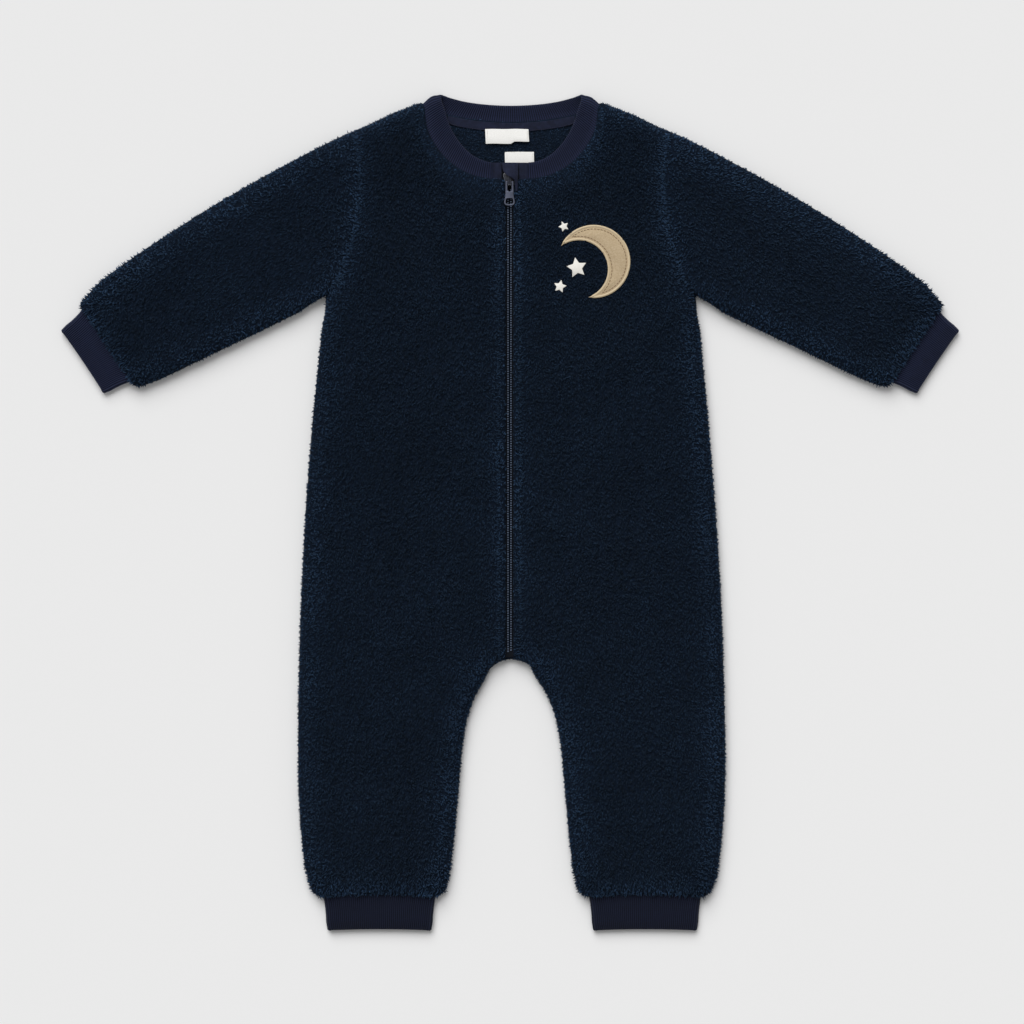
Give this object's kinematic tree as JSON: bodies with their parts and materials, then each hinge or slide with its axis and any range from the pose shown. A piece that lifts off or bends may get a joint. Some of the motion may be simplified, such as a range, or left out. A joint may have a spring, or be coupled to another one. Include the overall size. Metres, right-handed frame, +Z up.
{
  "type": "onesie pajama",
  "caption": "Baby's one-piece sleep suit in pile fleece with long sleeves and legs, rib neckband and cuffs, and a full-length front zip, lying flat.",
  "frame": {"origin": "on the surface it lies on, under the middle of the garment's outline", "axes": "+X towards the wearer's left hand cuff, +Y towards the neck, +Z up from the surface, out of the front"},
  "size_m": [0.7166, 0.669, 0.0148],
  "materials": {
    "fleece": "pile fleece",
    "rib": "rib knit",
    "jersey": "jersey knit",
    "label": "woven satin",
    "zip_tape": "woven tape",
    "zip_coil": "satin",
    "zip_metal": "satin",
    "felt": "felt",
    "embroidery": "satin stitch"
  },
  "bodies": {
    "garment": {"back_panel": "fleece", "front_left_panel": "fleece", "front_right_panel": "fleece", "sleeve_left": "fleece", "sleeve_right": "fleece", "cuff_left": "rib", "cuff_right": "rib", "leg_cuff_left": "rib", "leg_cuff_right": "rib", "neckband": "rib", "neck_tape": "jersey", "main_label": "label", "size_label": "label", "zip_tape_left": "zip_tape", "zip_tape_right": "zip_tape", "zip_coil_left": "zip_coil", "zip_coil_right": "zip_coil", "zip_end_tab": "zip_tape", "zip_facing_left": "jersey", "zip_facing_right": "jersey", "zip_guard": "jersey", "zip_slider": "zip_metal", "moon_patch": "felt", "star_large": "embroidery", "star_middle": "embroidery", "star_small": "embroidery"},
    "zip_pull": {"zip_pull": "zip_metal"}
  },
  "joints": [
    {"name": "zip_pull_hinge", "type": "hinge", "parent": "garment", "child": "zip_pull", "pos_m": [-0.0014, 0.26463, 0.011], "axis": [-1, 0, 0], "range_deg": [0, 120]}
  ]
}
